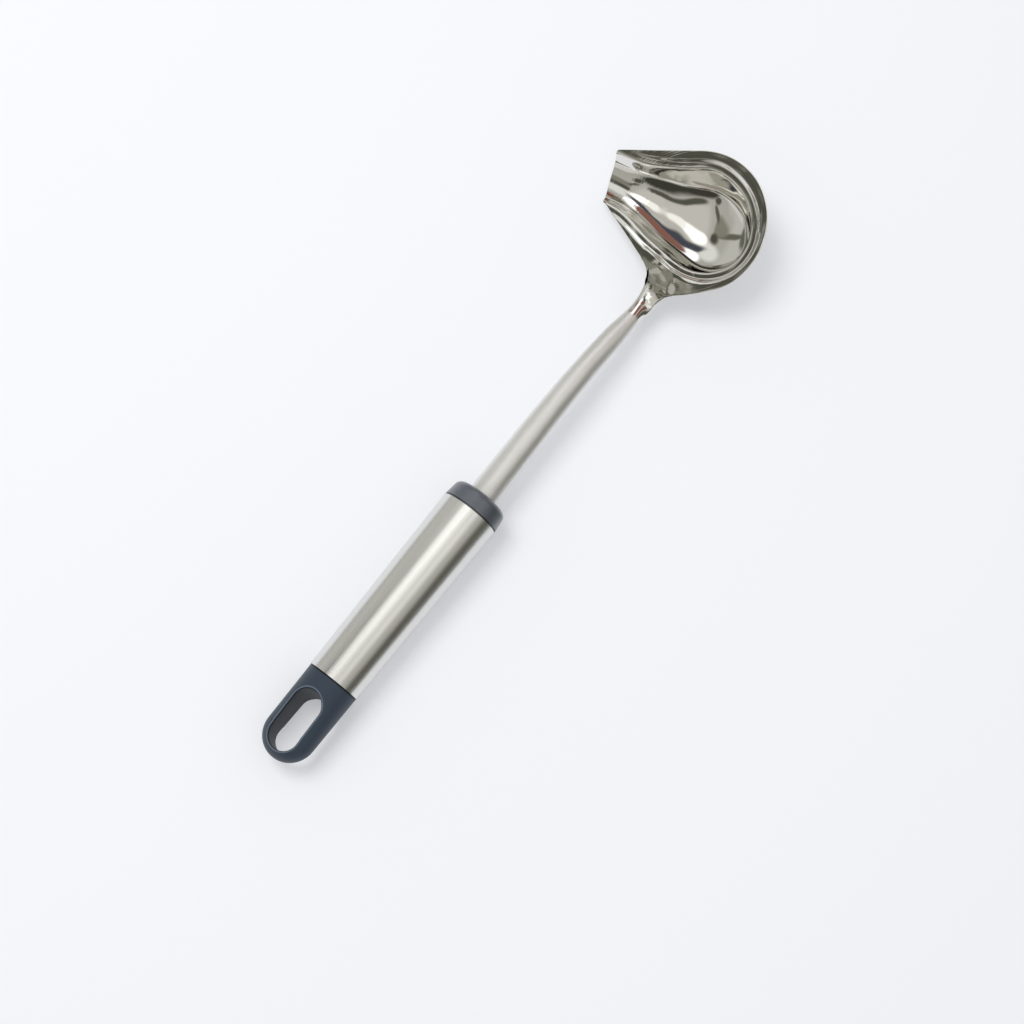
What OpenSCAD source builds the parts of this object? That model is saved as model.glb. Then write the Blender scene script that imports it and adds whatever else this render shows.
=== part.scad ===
// Sauce ladle: a pressed bowl with a side spout on a rolled shank, set in a tubular handle.
// Everything is drawn along the handle's own axis first: X runs from the tube's back end
// towards the bowl, Y towards the spout and Z up. lay() then sets the ladle down as it rests.

/* [Handle tube] */
// Length of the steel tube
tube_len = 90; // [60:1:130]
// Outer diameter at the back end
tube_back_d = 24.4; // [22:0.1:28]
// Outer diameter at the collar
tube_front_d = 26.8; // [24:0.1:30]
// Wall of the tube
tube_wall = 0.7; // [0.5:0.1:1.2]

/* [End cap] */
// Length of the cap behind the tube
cap_len = 39.5; // [34:0.5:50]
// How far the cap stands in from the tube's surface at their joint
cap_step = 0.35; // [0.1:0.05:1]
// Thickness of the flattened end
cap_thick = 16.5; // [12:0.5:20]
// Length of the hanging slot
slot_len = 28; // [20:0.5:29]
// Width of the hanging slot
slot_w = 13.5; // [8:0.5:15]
// Wall left between the slot and the cap's tip
slot_tip_wall = 3.4; // [2.5:0.1:5]
// Length of the cap's spigot inside the tube
cap_spigot = 14; // [8:1:20]
// Wall of the cap's cored spigot
spigot_wall = 2.4; // [1.5:0.1:4]

/* [Collar] */
// Length of the collar in front of the tube
collar_len = 9; // [6:0.5:14]
// How far the collar stands in from the tube's surface at their joint
collar_step = 0.15; // [0.1:0.05:1]
// How far the collar draws in along its length before the rounded shoulder
collar_draw = 0.6; // [0:0.1:1.5]
// Radius of the rounded shoulder
collar_round = 3.2; // [1.5:0.1:5]
// Length of the collar's spigot inside the tube
collar_spigot = 12; // [8:1:20]
// Gap between a spigot and the tube's inner wall
spigot_fit = 0.1; // [0.05:0.05:0.2]
// Gap between the shank and its hole in the collar
shank_fit = 0.15; // [0.1:0.05:0.3]

/* [Shank] */
// Thickness of the steel sheet of the bowl and shank
sheet = 1; // [0.8:0.1:1.5]
// Diameter of the shank at the collar
shank_d = 13; // [11:0.1:15]
// Diameter of the shank before it draws in to the neck
shank_front_d = 9.8; // [9:0.1:12]
// Diameter of the neck where the sheet opens out
neck_d = 7.9; // [7:0.1:9.5]
// Length over which the shank draws in to the neck
draw_len = 16; // [10:1:20]
// Distance from the collar's face to the centre of the rim
shank_reach = 150; // [120:1:200]
// Upward tilt of the shank in the collar
shank_tilt = 5; // [2:0.5:7]
// Distance from the collar's face to the highest point of the shank
crown_reach = 51; // [40:1:60]
// Radius of the downward bend between that point and the neck
bend_r = 220; // [180:5:300]
// Straight length of shank inside the handle
tail_len = 24; // [21:1:35]
// Gap left along the underside where the rolled edges meet
seam_gap = 0.8; // [0.5:0.1:1.5]

/* [Neck] */
// Length over which the sheet rolls up from flat into the shank
roll_len = 24; // [18:1:32]
// How much of the roll is done within the first part of that length
roll_haste = 2; // [1.5:0.1:3]
// How gently the roll sets in, as a share of that length
roll_ease = 0.05; // [0.02:0.01:0.2]
// Size of the fillets where the neck widens into the rim
neck_fillet = 3.2; // [2:0.1:5]
// Softness of the hollow between the shank and the rim
neck_hollow = 2.4; // [1:0.1:4]
// Bearing from the hollow's centre at which the neck's right edge leaves the rim
neck_bearing = 195.6; // [192:0.2:200]
// Run of the neck's left edge along the spout's side
neck_run = 16; // [13:0.5:19]

/* [Rim] */
// Radius of the round part of the rim
rim_r = 33.5; // [31:0.1:37]
// Distance from the rim's centre to the straight edge on the handle side
flat_reach = 26.2; // [25:0.1:28]
// Direction of that straight edge's square line
flat_bearing = 157.5; // [155:0.5:160]
// Distance from the rim's centre to the flattened stretch beside the neck
heel_reach = 31.9; // [31:0.1:36]
// Direction of that stretch's square line
heel_bearing = 220; // [215:0.5:226]
// Softness with which it runs into the round
heel_soft = 2; // [1:0.1:3]
// Height of the rim's centre over the handle's axis
rim_lift = 6.3; // [3:0.1:9]
// Offset of the rim's centre from the handle's axis, towards the spout
rim_side = 2; // [-2:0.1:5]
// Tilt of the rim, rising away from the handle
rim_pitch = 14; // [8:0.5:18]
// Tilt of the rim down towards the spout
rim_roll = 4; // [0:0.5:8]

/* [Bowl] */
// Radius of the hollow at its shoulder
hollow_r = 21.6; // [20:0.1:23]
// Offset of the hollow's centre away from the handle
hollow_x = 3.9; // [2.5:0.1:4.5]
// Offset of the hollow's centre away from the spout
hollow_y = 2.1; // [1:0.1:3]
// Reach of the hollow from its centre away from the spout
hollow_back = 24.2; // [22:0.1:25.5]
// Sideways lean of the hollow's round end for each millimetre along its axis
hollow_lean = 0.15; // [0:0.01:0.2]
// Length of channel over which that lean dies out
lean_len = 21.4; // [18:0.2:26]
// Depth of the bowl below the rim
bowl_depth = 22.5; // [21:0.5:28]
// Rise of the dished floor from its middle to under the shoulder
floor_rise = 7; // [4:0.5:9]
// Steepness of the bowl's wall, drop over run
wall_slope = 4; // [3:0.1:5]
// Roundness of the corner between the wall and the floor
corner = 3; // [2:0.1:5]
// Roundness of the shoulder between the ledge and the wall
shoulder = 1.8; // [1:0.1:2.4]
// Width of the lower ledge inside the rim
ledge_w = 2.3; // [1.6:0.1:3]
// Drop from the rim to the ledge
ledge_drop = 1.2; // [0.6:0.1:2]
// Width of the step between the rim and the ledge
step_w = 2.1; // [1.4:0.1:2.6]

/* [Spout] */
// Bearing at which the spout's far side leaves the round of the rim
spout_bearing = 28.4; // [24:0.2:32]
// Length of the spout's far side
far_side = 38.3; // [34:0.1:42]
// Height of the spout's near side above the square line of the straight edge
near_side = 34.6; // [31:0.1:37]
// Half width of the channel at the lip
mouth_r = 10.9; // [9:0.1:11.5]
// Length over which the hollow narrows to the channel
narrow_len = 42.5; // [38:0.5:48]
// How far the lip stands forward at its middle
lip_bow = 3; // [1:0.1:4]
// Depth of the channel at the lip
mouth_depth = 8; // [6:0.5:10]
// Rise of the channel's floor from its middle to under its sides, at the lip
mouth_rise = 5.5; // [3:0.5:6.5]
// Steepness of the channel's sides at the lip, drop over run
mouth_slope = 2; // [1.4:0.1:2.8]
// Length over which the floor climbs from the bowl to the channel
ramp_len = 42; // [36:1:48]

/* [Hidden] */
$fn = 96;

// Steps of the sheet's mesh
neck_feet = 12;         // spans of the near side that belong to the neck
side_feet = 12;         // spans of each spout side beyond the neck
rim_spans = 36;         // spans of the rim from the spout's far side round to the neck
neck_spans = 5;         // spans of the rim under the neck
wall_rows = 11;         // rows from the floor's middle to the shoulder
neck_rows = 20;         // rows where the sheet rolls up
shank_rows = 12;        // rows along the rolled shank

eps = 0.02;             // step of the slopes that give the sheet its thickness
steel = [0.78, 0.78, 0.76];
polish = [0.7, 0.7, 0.68];
slate = [0.25, 0.29, 0.34];

// Plain helpers
function ramp(t) = t <= 0 ? 0 : t >= 1 ? 1 : t * t * (3 - 2 * t);
function lower(a, b, soft) = (a + b - sqrt((a - b) * (a - b) + soft * soft)) / 2;
function upper(a, b, soft) = (a + b + sqrt((a - b) * (a - b) + soft * soft)) / 2;
function between(a, b, t) = a + (b - a) * t;
function unit(v) = v / norm(v);
function heading(a) = [cos(a), sin(a)];
function lows(pts, k) = min([for (p = pts) p[k]]);
function highs(pts, k) = max([for (p = pts) p[k]]);

// Outline of the rim in its own plane: u away from the handle, v towards the spout.
// It is a circle, its tangent along the spout's far side and one straight near side.
far_dir = heading(spout_bearing + 90);
near_dir = heading(flat_bearing - 90);
far_corner = rim_r * heading(spout_bearing) + far_side * far_dir;
near_corner = flat_reach * heading(flat_bearing) + near_side * near_dir;

function to_circle(s, d) = let (b = s * d) -b + sqrt(b * b + rim_r * rim_r - s * s);
function to_line(s, d, bearing, reach) = (reach - s * heading(bearing)) / (d * heading(bearing));
function to_near(s, d) = to_line(s, d, flat_bearing, flat_reach);
function far_edge(s, d) =
    let (t = to_line(s, d, spout_bearing, rim_r))
    s + d * ((s + d * t) * far_dir > 0 ? t : to_circle(s, d));
function near_edge(s, d) = s + d * to_near(s, d);
function faces_line(d, bearing) = d * heading(bearing) > 0.2;
function round_edge(s, d) =
    let (
        r = to_circle(s, d),
        t = faces_line(d, heel_bearing)
            ? lower(r, to_line(s, d, heel_bearing, heel_reach), heel_soft) : r
    )
    s + d * (faces_line(d, flat_bearing) ? min(t, to_near(s, d)) : t);

// The hollow tapers from its round end towards the lip along one straight axis. Its round
// end leans a little to the far side of that axis.
hub = [hollow_x, -hollow_y];
lip = (far_corner + near_corner) / 2
    + lip_bow * unit([near_corner[1] - far_corner[1], far_corner[0] - near_corner[0]]);
spout_len = norm(lip - hub);
axis = unit(lip - hub);
square = [axis[1], -axis[0]];

function along(p) = (p - hub) * axis;
function lean(a) = hollow_lean * a * (1 - ramp(a / lean_len));
function aside(p) = (p - hub) * square - lean(along(p));
function half_width(a) = between(hollow_r, mouth_r, ramp(a / narrow_len));
function across(p) =
    let (a = along(p))
    a <= 0 ? norm([a / hollow_back, aside(p) / hollow_r]) : abs(aside(p)) / half_width(a);

// Height of the sheet's upper face over the rim's plane
function pressed(p) =
    let (
        a = along(p),
        x = across(p),
        climb = ramp(a / ramp_len),
        ledge = ledge_drop * (1 - ramp(a / spout_len)),
        beyond = (x - 1) * half_width(a),
        rim = -ledge * (1 - ramp((beyond - ledge_w) / step_w)),
        side = -ledge + beyond * between(wall_slope, mouth_slope, climb),
        dish = between(floor_rise, mouth_rise, climb) * x * x - between(bowl_depth, mouth_depth, climb)
    )
    lower(rim, upper(side, dish, corner * (1 - climb / 2)), shoulder);
function pressed_normal(p) =
    let (
        h = pressed(p),
        du = (pressed(p + [eps, 0]) - h) / eps,
        dv = (pressed(p + [0, eps]) - h) / eps
    )
    unit([-du, -dv, 1]);

// The rim's plane in the handle's frame
collar_face = tube_len + collar_len;
rim_x = collar_face + shank_reach;
u_axis = [cos(rim_pitch), 0, sin(rim_pitch)];
flat_up = [-sin(rim_pitch), 0, cos(rim_pitch)];
v_axis = [0, cos(rim_roll), 0] - flat_up * sin(rim_roll);
w_axis = cross(u_axis, v_axis);
function turned(p) = u_axis * p[0] + v_axis * p[1] + w_axis * p[2];
function placed(p) = [rim_x, rim_side, rim_lift] + turned(p);

// Feet of the mesh's columns on the hollow's axis, close together beside the neck
neck_foot = neck_run * spout_len / along(near_corner);
feet = concat(
    [for (i = [0:neck_feet]) neck_foot * i / neck_feet],
    [for (i = [1:side_feet]) neck_foot + (spout_len - neck_foot) * i / side_feet]
);
last_foot = len(feet) - 1;
far_turn = atan2(square[1], square[0]);
near_turn = far_turn - 180;
neck_turn = neck_bearing - 360;

// Each column is [index of its foot, edge point], from the far corner round to the near one
function far_column(i) =
    [i, far_edge(hub + axis * feet[i] * along(far_corner) / spout_len, square)];
function near_column(i) =
    [i, near_edge(hub + axis * feet[i] * along(near_corner) / spout_len, -square)];
function round_column(a) = [0, round_edge(hub, heading(a))];
columns = concat(
    [for (i = [last_foot:-1:1]) far_column(i)],
    [for (i = [0:rim_spans - 1]) round_column(far_turn + (neck_turn - far_turn) * i / rim_spans)],
    [for (i = [0:neck_spans]) round_column(neck_turn + (near_turn - neck_turn) * i / neck_spans)],
    [for (i = [1:last_foot]) near_column(i)]
);
column_count = len(columns);
neck_first = last_foot + rim_spans;
neck_last = neck_first + neck_spans + neck_feet;
neck_count = neck_last - neck_first + 1;

// Point of a column at share t from the foot (0) to the edge (1), bowed near the lip
function on_column(c, t) =
    let (
        base = hub + axis * feet[c[0]],
        bow = lip_bow * t * (1 - t) * pow(feet[c[0]] / spout_len, 6)
    )
    base + (c[1] - base) * t + axis * bow;
// Share of a column at which the hollow's shoulder lies
function shoulder_share(c, lo = 0, hi = 1, n = 14) =
    let (mid = (lo + hi) / 2)
    n == 0 ? mid
    : across(on_column(c, mid)) < 1 ? shoulder_share(c, mid, hi, n - 1)
    : shoulder_share(c, lo, mid, n - 1);
// Rows of a column from the edge inwards: rim, step, ledge, shoulder and wall
function row_shares(c) =
    let (
        reach = norm(c[1] - hub - axis * feet[c[0]]),
        s = min(shoulder_share(c), 0.985),
        span = (1 - s) * reach,
        fit = min(1, 0.8 * span / (ledge_w + step_w)),
        outer = s + fit * (ledge_w + step_w) / reach
    )
    concat(
        [1, (1 + outer) / 2],
        [for (k = [1:-1/3:0]) s + fit * (ledge_w + step_w * k) / reach],
        [s + fit * ledge_w * 0.6 / reach, s + fit * ledge_w * 0.25 / reach],
        [for (k = [0:wall_rows - 1]) s * (1 - pow(k / wall_rows, 1.5))]
    );
row_count = len(row_shares(columns[0]));

bowl_plan = [for (c = columns) for (t = row_shares(c)) on_column(c, t)];
axis_plan = [for (f = feet) hub + axis * f];

// Height of the shank's centre line over the handle's axis
tilt_rise = tan(shank_tilt);
pivot_x = tube_len + 2;
crown_x = collar_face + crown_reach;
crown_z = (collar_face - pivot_x) * tilt_rise + crown_reach * tilt_rise / 2;
function centre_z(x) =
    x < collar_face ? (x - pivot_x) * tilt_rise
    : x < crown_x ? crown_z - pow(crown_x - x, 2) * tilt_rise / crown_reach / 2
    : crown_z - pow(x - crown_x, 2) / bend_r / 2;

// The rolled sheet: half width, roll angle and height of its top line at a station
neck_edges = [
    for (i = [neck_first:neck_last])
        let (p = columns[i][1])
        placed(concat(p, [pressed(p)]))
];
right_root = neck_edges[0];
left_root = neck_edges[neck_count - 1];
roll_start = min(right_root[0], left_root[0]);
roll_end = roll_start - roll_len;
tail_x = collar_face - tail_len;
neck_x = roll_start - roll_len * 0.65;
draw_x = neck_x - draw_len;
function tube_half(x) =
    let (
        t = min(max((x - collar_face) / (draw_x - collar_face), 0), 1),
        drawn_in = (shank_front_d - neck_d) * ramp((x - draw_x) / draw_len)
    )
    (between(shank_d, shank_front_d, t) - drawn_in) / 2;
function fillet_share(root, x) = exp(-max(root[0] - x, 0) / neck_fillet);
function left_y(x) =
    tube_half(x) + (left_root[1] - tube_half(x)) * fillet_share(left_root, x);
function right_y(x) =
    -tube_half(x) + (right_root[1] + tube_half(x)) * fillet_share(right_root, x);
function roll_angle(x) =
    let (
        t = min(max((roll_start - x) / roll_len, 0), 1),
        eased = t * t * (1 + roll_ease) / (t + roll_ease)
    )
    (180 - asin(seam_gap / 2 / tube_half(x))) * (1 - pow(1 - eased, roll_haste));
function rim_plane_z(x) = rim_lift + (x - rim_x) * tan(rim_pitch);
function top_z(x) =
    x < roll_end - roll_len ? centre_z(x) + tube_half(x)
    : upper(centre_z(x) + tube_half(x), rim_plane_z(x), neck_hollow);
function rolled(x, q) =
    let (
        mid = (left_y(x) + right_y(x)) / 2,
        half = (left_y(x) - right_y(x)) / 2,
        turn = roll_angle(x),
        r = half / sin(min(max(turn, 0.5), 90))
    )
    turn < 0.5 ? [x, mid + half * q, top_z(x)]
    : [x, mid + r * sin(q * turn), top_z(x) - r * (1 - cos(q * turn))];

// Column i of the neck and shank starts on the rim and settles into the rolled shape
function side_share(i) = 2 * i / (neck_count - 1) - 1;
function neck_point(i, x) =
    let (
        root = neck_edges[i],
        keep = 1 - ramp((root[0] - x) / (roll_len * 0.75))
    )
    rolled(x, side_share(i)) + (root - rolled(root[0], side_share(i))) * keep;
function station(i, j) =
    let (root_x = neck_edges[i][0], mid_x = roll_end - 2)
    j <= neck_rows ? root_x + (mid_x - root_x) * pow(j / neck_rows, 1.15)
    : mid_x + (tail_x - mid_x) * (j - neck_rows) / shank_rows;
function neck_normal(i, j) =
    let (
        x = station(i, j),
        a = max(i - 1, 0),
        b = min(i + 1, neck_count - 1),
        over = neck_point(b, x) - neck_point(a, x),
        back = neck_point(i, x) - neck_point(i, x + 0.1)
    )
    unit(cross(over, back));
strip_rows = neck_rows + shank_rows;

// All points: the hollow's axis, the bowl's columns, then the neck and shank
upper_face = concat(
    [for (p = axis_plan) placed(concat(p, [pressed(p)]))],
    [for (p = bowl_plan) placed(concat(p, [pressed(p)]))],
    [for (i = [0:neck_count - 1]) for (j = [1:strip_rows]) neck_point(i, station(i, j))]
);
normals = concat(
    [for (p = axis_plan) turned(pressed_normal(p))],
    [for (p = bowl_plan) turned(pressed_normal(p))],
    [for (i = [0:neck_count - 1]) for (j = [1:strip_rows]) neck_normal(i, j)]
);
lower_face = [for (k = [0:len(upper_face) - 1]) upper_face[k] - normals[k] * sheet];
point_count = len(upper_face);

// Index of a bowl point (row 0 is the edge) and of a shank point (row 0 is the rim)
first_bowl = len(feet);
first_strip = first_bowl + column_count * row_count;
function at_bowl(c, r) = r == row_count ? columns[c][0] : first_bowl + c * row_count + r;
function at_strip(i, j) = j == 0 ? at_bowl(neck_first + i, 0) : first_strip + i * strip_rows + j - 1;
function patch(a, b, c, d) = a == b ? [[a, d, c]] : c == d ? [[a, c, b]] : [[a, c, b], [a, d, c]];

top_faces = concat(
    [for (c = [0:column_count - 2]) for (r = [0:row_count - 1])
        each patch(at_bowl(c, r + 1), at_bowl(c + 1, r + 1), at_bowl(c + 1, r), at_bowl(c, r))],
    [for (i = [0:neck_count - 2]) for (j = [0:strip_rows - 1])
        each patch(at_strip(i, j), at_strip(i + 1, j), at_strip(i + 1, j + 1), at_strip(i, j + 1))]
);
// The sheet's whole edge, from the far corner round by the shank's seam to the lip
border = concat(
    [for (c = [0:neck_first]) at_bowl(c, 0)],
    [for (j = [1:strip_rows]) at_strip(0, j)],
    [for (i = [1:neck_count - 1]) at_strip(i, strip_rows)],
    [for (j = [strip_rows - 1:-1:0]) at_strip(neck_count - 1, j)],
    [for (c = [neck_last + 1:column_count - 1]) at_bowl(c, 0)],
    [for (r = [1:row_count]) at_bowl(column_count - 1, r)],
    [for (r = [row_count - 1:-1:1]) at_bowl(0, r)]
);
border_count = len(border);
edge_faces = [
    for (k = [0:border_count - 1])
        let (a = border[k], b = border[(k + 1) % border_count])
        each patch(a, b, b + point_count, a + point_count)
];
sheet_faces = concat(
    top_faces,
    [for (f = top_faces) [f[2] + point_count, f[1] + point_count, f[0] + point_count]],
    edge_faces
);

// Resting pose: the tube's back edge, the bowl's bottom and the lip all touch the table
tube_back_r = tube_back_d / 2;
tube_front_r = tube_front_d / 2;
lip_points = [for (p = lower_face) if (p[1] > rim_r) p];
bottom_points = [for (p = lower_face) if (p[1] <= rim_r && p[2] < -tube_back_r) p];
function rolled_down(p, roll) =
    [p[0], p[1] * cos(roll) + p[2] * sin(roll), p[2] * cos(roll) - p[1] * sin(roll)];
function turned_down(pts, roll) = [for (p = pts) rolled_down(p, roll)];
function lowest(pts, a) = min([for (p = pts) p[0] * sin(a) + p[2] * cos(a)]);
function rest_pitch(pts, lo = 0, hi = 8, n = 18) =
    let (mid = (lo + hi) / 2)
    n == 0 ? mid
    : lowest(pts, mid) < -tube_back_r * cos(mid) ? rest_pitch(pts, mid, hi, n - 1)
    : rest_pitch(pts, lo, mid, n - 1);
function lip_clear(roll) =
    let (bottom = turned_down(bottom_points, roll), a = rest_pitch(bottom))
    lowest(turned_down(lip_points, roll), a) > lowest(bottom, a);
function rest_turn(lo = 0, hi = 30, n = 14) =
    let (mid = (lo + hi) / 2)
    n == 0 ? mid : lip_clear(mid) ? rest_turn(mid, hi, n - 1) : rest_turn(lo, mid, n - 1);
rest_roll = rest_turn();
lay_pitch = rest_pitch(turned_down(bottom_points, rest_roll));
table_z = tube_back_r * cos(lay_pitch);
both_faces = turned_down(concat(lower_face, upper_face), rest_roll);
far_x = max([for (p = both_faces) p[0] * cos(lay_pitch) - p[2] * sin(lay_pitch)]);
back_x = -cap_len * cos(lay_pitch);
middle = [(far_x + back_x) / 2, (lows(both_faces, 1) + highs(both_faces, 1)) / 2];

module lay() {
    translate([-middle[0], -middle[1], table_z])
        rotate([0, -lay_pitch, 0])
            rotate([-rest_roll, 0, 0])
                children();
}

module along_x() {
    rotate([0, 90, 0]) children();
}

// Sheet steel pressed into the bowl and rolled into the shank in one piece
module bowl_and_shank() {
    color(polish) polyhedron(points = concat(upper_face, lower_face), faces = sheet_faces);
}

// Tapered tube of brushed steel, open at both ends
module handle_tube() {
    color(steel) along_x() rotate_extrude()
        polygon([
            [tube_back_r, 0],
            [tube_front_r, tube_len],
            [tube_front_r - tube_wall, tube_len],
            [tube_back_r - tube_wall, 0]
        ]);
}

// Moulded plug that closes the tube's front and holds the shank
module collar() {
    r = tube_front_r - collar_step;
    mid_r = r - collar_draw;
    taper = (tube_front_d - tube_back_d) / 2 / tube_len;
    inner_r = tube_front_r - tube_wall - spigot_fit;
    color(slate) difference() {
        along_x() rotate_extrude() union() {
            polygon([
                [0, tube_len - collar_spigot],
                [inner_r - collar_spigot * taper, tube_len - collar_spigot],
                [inner_r, tube_len],
                [r, tube_len],
                [mid_r, collar_face - collar_round],
                [mid_r - collar_round, collar_face],
                [0, collar_face]
            ]);
            translate([mid_r - collar_round, collar_face - collar_round]) circle(r = collar_round);
        }
        translate([pivot_x, 0, 0])
            rotate([0, 90 - shank_tilt, 0])
                cylinder(d = shank_d + 2 * shank_fit, h = 4 * tail_len, center = true);
    }
}

// Moulded cap: round at the tube, flattened towards its tip, with a slot to hang it by
module end_cap() {
    cap_r = tube_back_r - cap_step;
    spigot_r = tube_back_r - tube_wall - spigot_fit;
    tip_x = -cap_len + cap_r;
    slot_mid = -cap_len + slot_tip_wall + slot_len / 2;
    color(slate) difference() {
        union() {
            hull() {
                translate([-1, 0, 0]) along_x() cylinder(r = cap_r, h = 1, $fn = 64);
                translate([tip_x, 0, 0]) rotate_extrude($fn = 64) flat_profile(cap_r, cap_thick / 2);
            }
            along_x() cylinder(r = spigot_r, h = cap_spigot);
        }
        translate([slot_mid, 0, 0]) linear_extrude(height = 3 * cap_r, center = true) slot_shape();
        along_x() cylinder(r = spigot_r - spigot_wall, h = 2 * cap_spigot);
    }
}

// Half section of the cap's rounded tip
module flat_profile(r, h) {
    polygon([
        [0, -h],
        for (a = [-75:15:75]) [r * pow(cos(a), 0.8), h * sin(a)],
        [0, h]
    ]);
}

// Outline of the slot with round ends
module slot_shape() {
    run = (slot_len - slot_w) / 2;
    square([2 * run, slot_w], center = true);
    translate([run, 0]) circle(d = slot_w);
    translate([-run, 0]) circle(d = slot_w);
}

lay() bowl_and_shank();
lay() collar();
lay() handle_tube();
lay() end_cap();
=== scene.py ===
import math

import bmesh
import bpy
import numpy as np
from mathutils import Matrix, Vector


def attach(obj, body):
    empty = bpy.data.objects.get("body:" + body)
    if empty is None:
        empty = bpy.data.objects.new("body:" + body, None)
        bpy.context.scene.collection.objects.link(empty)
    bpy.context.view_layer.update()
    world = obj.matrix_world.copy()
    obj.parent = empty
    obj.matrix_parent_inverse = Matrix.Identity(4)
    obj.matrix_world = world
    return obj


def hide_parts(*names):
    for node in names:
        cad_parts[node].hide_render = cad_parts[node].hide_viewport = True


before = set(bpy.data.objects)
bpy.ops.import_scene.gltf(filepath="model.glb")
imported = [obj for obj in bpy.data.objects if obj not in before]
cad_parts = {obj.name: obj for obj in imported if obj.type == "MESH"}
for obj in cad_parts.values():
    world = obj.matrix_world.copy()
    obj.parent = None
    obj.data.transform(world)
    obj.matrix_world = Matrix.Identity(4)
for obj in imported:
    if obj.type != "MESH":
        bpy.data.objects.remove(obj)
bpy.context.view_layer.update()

# The bowl, the neck and the shank are one piece of stainless sheet, 1 mm thick. It is pressed
# into the stepped rim, the hollow and the spout, and its tail is rolled round into a tube whose
# edges nearly meet along the underside. Bowl and neck are polished, the shank is brushed.

# Lengths are in millimetres and angles in degrees, on the handle's own axes
SHEET, EDGE = 1.0, 0.22

# The rim: its round part, the straight edge beside the handle, and the spout's two sides
RIM_R = 33.5
RIM_AT = (249.0, 2.0, 6.3)
RIM_PITCH, RIM_ROLL = 14.0, 4.0
FLAT_REACH, FLAT_BEARING = 26.2, 157.5
HEEL_REACH, HEEL_BEARING, HEEL_SOFT = 31.9, 220.0, 2.0
SPOUT_BEARING, FAR_SIDE, NEAR_SIDE = 28.4, 38.3, 34.6

# The hollow, the step and ledge round it, and the channel that leads to the spout's mouth
HOLLOW_R, HOLLOW_X, HOLLOW_Y, HOLLOW_BACK = 21.6, 3.9, 2.1, 24.2
HOLLOW_LEAN, LEAN_LEN = 0.15, 21.4
BOWL_DEPTH, FLOOR_RISE, WALL_SLOPE, CORNER, SHOULDER = 22.5, 7.0, 4.0, 3.0, 1.0
LEDGE_W, LEDGE_DROP, STEP_W = 2.3, 1.2, 2.1
MOUTH_R, NARROW_LEN, LIP_BOW = 10.9, 42.5, 3.0
MOUTH_DEPTH, MOUTH_RISE, MOUTH_SLOPE, RAMP_LEN = 8.0, 5.5, 2.0, 42.0

# The shank and the neck, and how the sheet rolls up between them
COLLAR_FACE, PIVOT_X, SHANK_D, SHANK_FRONT_D, NECK_D = 99.0, 92.0, 13.0, 9.8, 7.9
DRAW_LEN, SHANK_TILT, CROWN_REACH, BEND_R, TAIL_LEN, SEAM_GAP = 16.0, 5.0, 51.0, 220.0, 24.0, 0.8
ROLL_LEN, ROLL_HASTE, ROLL_EASE = 24.0, 2.0, 0.05
NECK_FILLET, NECK_HOLLOW, NECK_BEARING, NECK_RUN = 3.2, 2.4, 195.6, 16.0

# How the ladle lies: turned about the handle's axis, pitched up and set down on the table
LIE_ROLL, LIE_PITCH = 12.009, 0.944534
LIE_SHIFT = (-121.01, -11.1528, 12.1983)


def turn_about_x(a):
    c, s = math.cos(math.radians(a)), math.sin(math.radians(a))
    return np.array([[1, 0, 0], [0, c, s], [0, -s, c]])


def pitch_up(a):
    c, s = math.cos(math.radians(a)), math.sin(math.radians(a))
    return np.array([[c, 0, -s], [0, 1, 0], [s, 0, c]])


LIE = pitch_up(LIE_PITCH) @ turn_about_x(LIE_ROLL)


def laid_down(points):
    """Points on the handle's own axes, in millimetres, as they lie on the table, in metres."""
    return (np.asarray(points) @ LIE.T + np.array(LIE_SHIFT)) / 1000


def ramp(t):
    t = np.clip(t, 0, 1)
    return t * t * (3 - 2 * t)


def lower_of(a, b, soft):
    return (a + b - np.sqrt((a - b) ** 2 + soft * soft)) / 2


def upper_of(a, b, soft):
    return (a + b + np.sqrt((a - b) ** 2 + soft * soft)) / 2


def unit(v):
    return v / np.linalg.norm(v, axis=-1, keepdims=True)


def heading(a):
    return np.array([math.cos(math.radians(a)), math.sin(math.radians(a))])


far_dir, near_dir = heading(SPOUT_BEARING + 90), heading(FLAT_BEARING - 90)
far_corner = RIM_R * heading(SPOUT_BEARING) + FAR_SIDE * far_dir
near_corner = FLAT_REACH * heading(FLAT_BEARING) + NEAR_SIDE * near_dir
hub = np.array([HOLLOW_X, -HOLLOW_Y])
across_mouth = unit(near_corner - far_corner)
lip = (far_corner + near_corner) / 2 + LIP_BOW * np.array([across_mouth[1], -across_mouth[0]])
spout_len = float(np.linalg.norm(lip - hub))
spout_axis = unit(lip - hub)
spout_square = np.array([spout_axis[1], -spout_axis[0]])


def to_circle(s, d):
    b = s @ d
    return -b + math.sqrt(b * b + RIM_R * RIM_R - s @ s)


def to_line(s, d, bearing, reach):
    return (reach - s @ heading(bearing)) / (d @ heading(bearing))


def far_edge(s, d):
    t = to_line(s, d, SPOUT_BEARING, RIM_R)
    return s + d * (t if (s + d * t) @ far_dir > 0 else to_circle(s, d))


def near_edge(s, d):
    return s + d * to_line(s, d, FLAT_BEARING, FLAT_REACH)


def round_edge(s, d):
    t = to_circle(s, d)
    if d @ heading(HEEL_BEARING) > 0.2:
        t = lower_of(t, to_line(s, d, HEEL_BEARING, HEEL_REACH), HEEL_SOFT)
    if d @ heading(FLAT_BEARING) > 0.2:
        t = min(t, to_line(s, d, FLAT_BEARING, FLAT_REACH))
    return s + d * t


def between(a, b, t):
    return a + (b - a) * t


def half_width(a):
    return between(HOLLOW_R, MOUTH_R, ramp(a / NARROW_LEN))


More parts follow.
